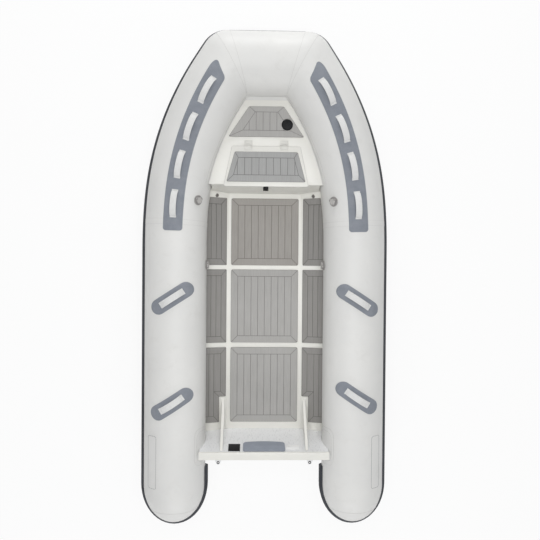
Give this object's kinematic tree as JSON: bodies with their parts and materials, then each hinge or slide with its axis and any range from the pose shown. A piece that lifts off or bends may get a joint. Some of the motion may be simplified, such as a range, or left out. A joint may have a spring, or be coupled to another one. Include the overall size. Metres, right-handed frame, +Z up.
{
  "type": "rigid inflatable boat",
  "caption": "Rigid inflatable boat with inflated side and bow tubes, aluminium V hull, padded deck, bow locker with hinged lid, grab straps and a motor transom.",
  "frame": {"origin": "on the floor plane under the keel, midway between the boat's sides and midway between its bow and stern tips", "axes": "+X to starboard, +Y towards the bow, +Z up"},
  "size_m": [1.7, 3.4, 0.6106],
  "materials": {
    "tube_fabric": "satin",
    "strake_rubber": "matte",
    "patch_fabric": "matte",
    "strap_webbing": "matte",
    "hull_paint": "satin",
    "transom_paint": "satin",
    "deck_foam": "matte",
    "valve_plastic": "satin",
    "hinge_plastic": "satin",
    "black_plastic": "satin",
    "motor_pad_plastic": "matte"
  },
  "bodies": {
    "boat": {"aft_centre_pad": "deck_foam", "bow_locker": "hull_paint", "bow_tube": "tube_fabric", "deck_panel": "hull_paint", "deck_port": "black_plastic", "floor_frame": "hull_paint", "fore_centre_pad": "deck_foam", "foredeck_pad": "deck_foam", "hull_shell": "hull_paint", "latch_base": "black_plastic", "middle_centre_pad": "deck_foam", "motor_pad": "motor_pad_plastic", "port_aft_handle_patch": "patch_fabric", "port_aft_handle_strap": "strap_webbing", "port_aft_side_pad": "deck_foam", "port_aft_tube": "tube_fabric", "port_aft_valve": "valve_plastic", "port_first_grip_strap": "strap_webbing", "port_fore_handle_patch": "patch_fabric", "port_fore_handle_strap": "strap_webbing", "port_fore_side_pad": "deck_foam", "port_fore_valve": "valve_plastic", "port_fourth_grip_strap": "strap_webbing", "port_grip_patch": "patch_fabric", "port_hinge_base": "hinge_plastic", "port_middle_side_pad": "deck_foam", "port_rubbing_strake": "strake_rubber", "port_second_grip_strap": "strap_webbing", "port_third_grip_strap": "strap_webbing", "port_transom_knee": "hull_paint", "starboard_aft_handle_patch": "patch_fabric", "starboard_aft_handle_strap": "strap_webbing", "starboard_aft_side_pad": "deck_foam", "starboard_aft_tube": "tube_fabric", "starboard_aft_valve": "valve_plastic", "starboard_first_grip_strap": "strap_webbing", "starboard_fore_handle_patch": "patch_fabric", "starboard_fore_handle_strap": "strap_webbing", "starboard_fore_side_pad": "deck_foam", "starboard_fore_valve": "valve_plastic", "starboard_fourth_grip_strap": "strap_webbing", "starboard_grip_patch": "patch_fabric", "starboard_hinge_base": "hinge_plastic", "starboard_middle_side_pad": "deck_foam", "starboard_rubbing_strake": "strake_rubber", "starboard_second_grip_strap": "strap_webbing", "starboard_third_grip_strap": "strap_webbing", "starboard_transom_knee": "hull_paint", "transom": "transom_paint"},
    "lid": {"locker_lid": "hull_paint", "lid_pad": "deck_foam", "port_hinge_leaf": "hinge_plastic", "starboard_hinge_leaf": "hinge_plastic"},
    "latch": {"latch_lever": "black_plastic"},
    "deck_port_cover": {"deck_port_cap": "black_plastic"},
    "drain": {"drain_plug": "black_plastic"},
    "port_fore_cap": {"port_fore_valve_cap": "valve_plastic"},
    "port_aft_cap": {"port_aft_valve_cap": "valve_plastic"},
    "starboard_fore_cap": {"starboard_fore_valve_cap": "valve_plastic"},
    "starboard_aft_cap": {"starboard_aft_valve_cap": "valve_plastic"}
  },
  "joints": [
    {"name": "locker_lid_hinge", "type": "hinge", "parent": "boat", "child": "lid", "pos_m": [0, 0.928, 0.3914], "axis": [-1, 0, 0], "range_deg": [0, 100]},
    {"name": "latch_hinge", "type": "hinge", "parent": "boat", "child": "latch", "pos_m": [0, 0.63203, 0.28649], "axis": [1, 0, 0], "range_deg": [0, 100]},
    {"name": "deck_port_twist", "type": "hinge", "parent": "boat", "child": "deck_port_cover", "pos_m": [0.142, 1.067, 0.3823], "axis": [0, 0, 1], "range_deg": [0, 90]},
    {"name": "drain_plug_pull", "type": "slide", "parent": "boat", "child": "drain", "axis": [0, -0.9659, -0.2588], "range_m": [0, 0.05]},
    {"name": "port_fore_valve_twist", "type": "hinge", "parent": "boat", "child": "port_fore_cap", "pos_m": [-0.45851, 0.54184, 0.43688], "axis": [0.6985, -0.1134, 0.7065], "range_deg": [0, 90]},
    {"name": "port_aft_valve_twist", "type": "hinge", "parent": "boat", "child": "port_aft_cap", "pos_m": [-0.41236, 0.108, 0.30364], "axis": [0.9937, 0, 0.112], "range_deg": [0, 90]},
    {"name": "starboard_fore_valve_twist", "type": "hinge", "parent": "boat", "child": "starboard_fore_cap", "pos_m": [0.45851, 0.54184, 0.43688], "axis": [-0.6985, -0.1134, 0.7065], "range_deg": [0, 90]},
    {"name": "starboard_aft_valve_twist", "type": "hinge", "parent": "boat", "child": "starboard_aft_cap", "pos_m": [0.41236, 0.108, 0.30364], "axis": [-0.9937, 0, 0.112], "range_deg": [0, 90]}
  ]
}
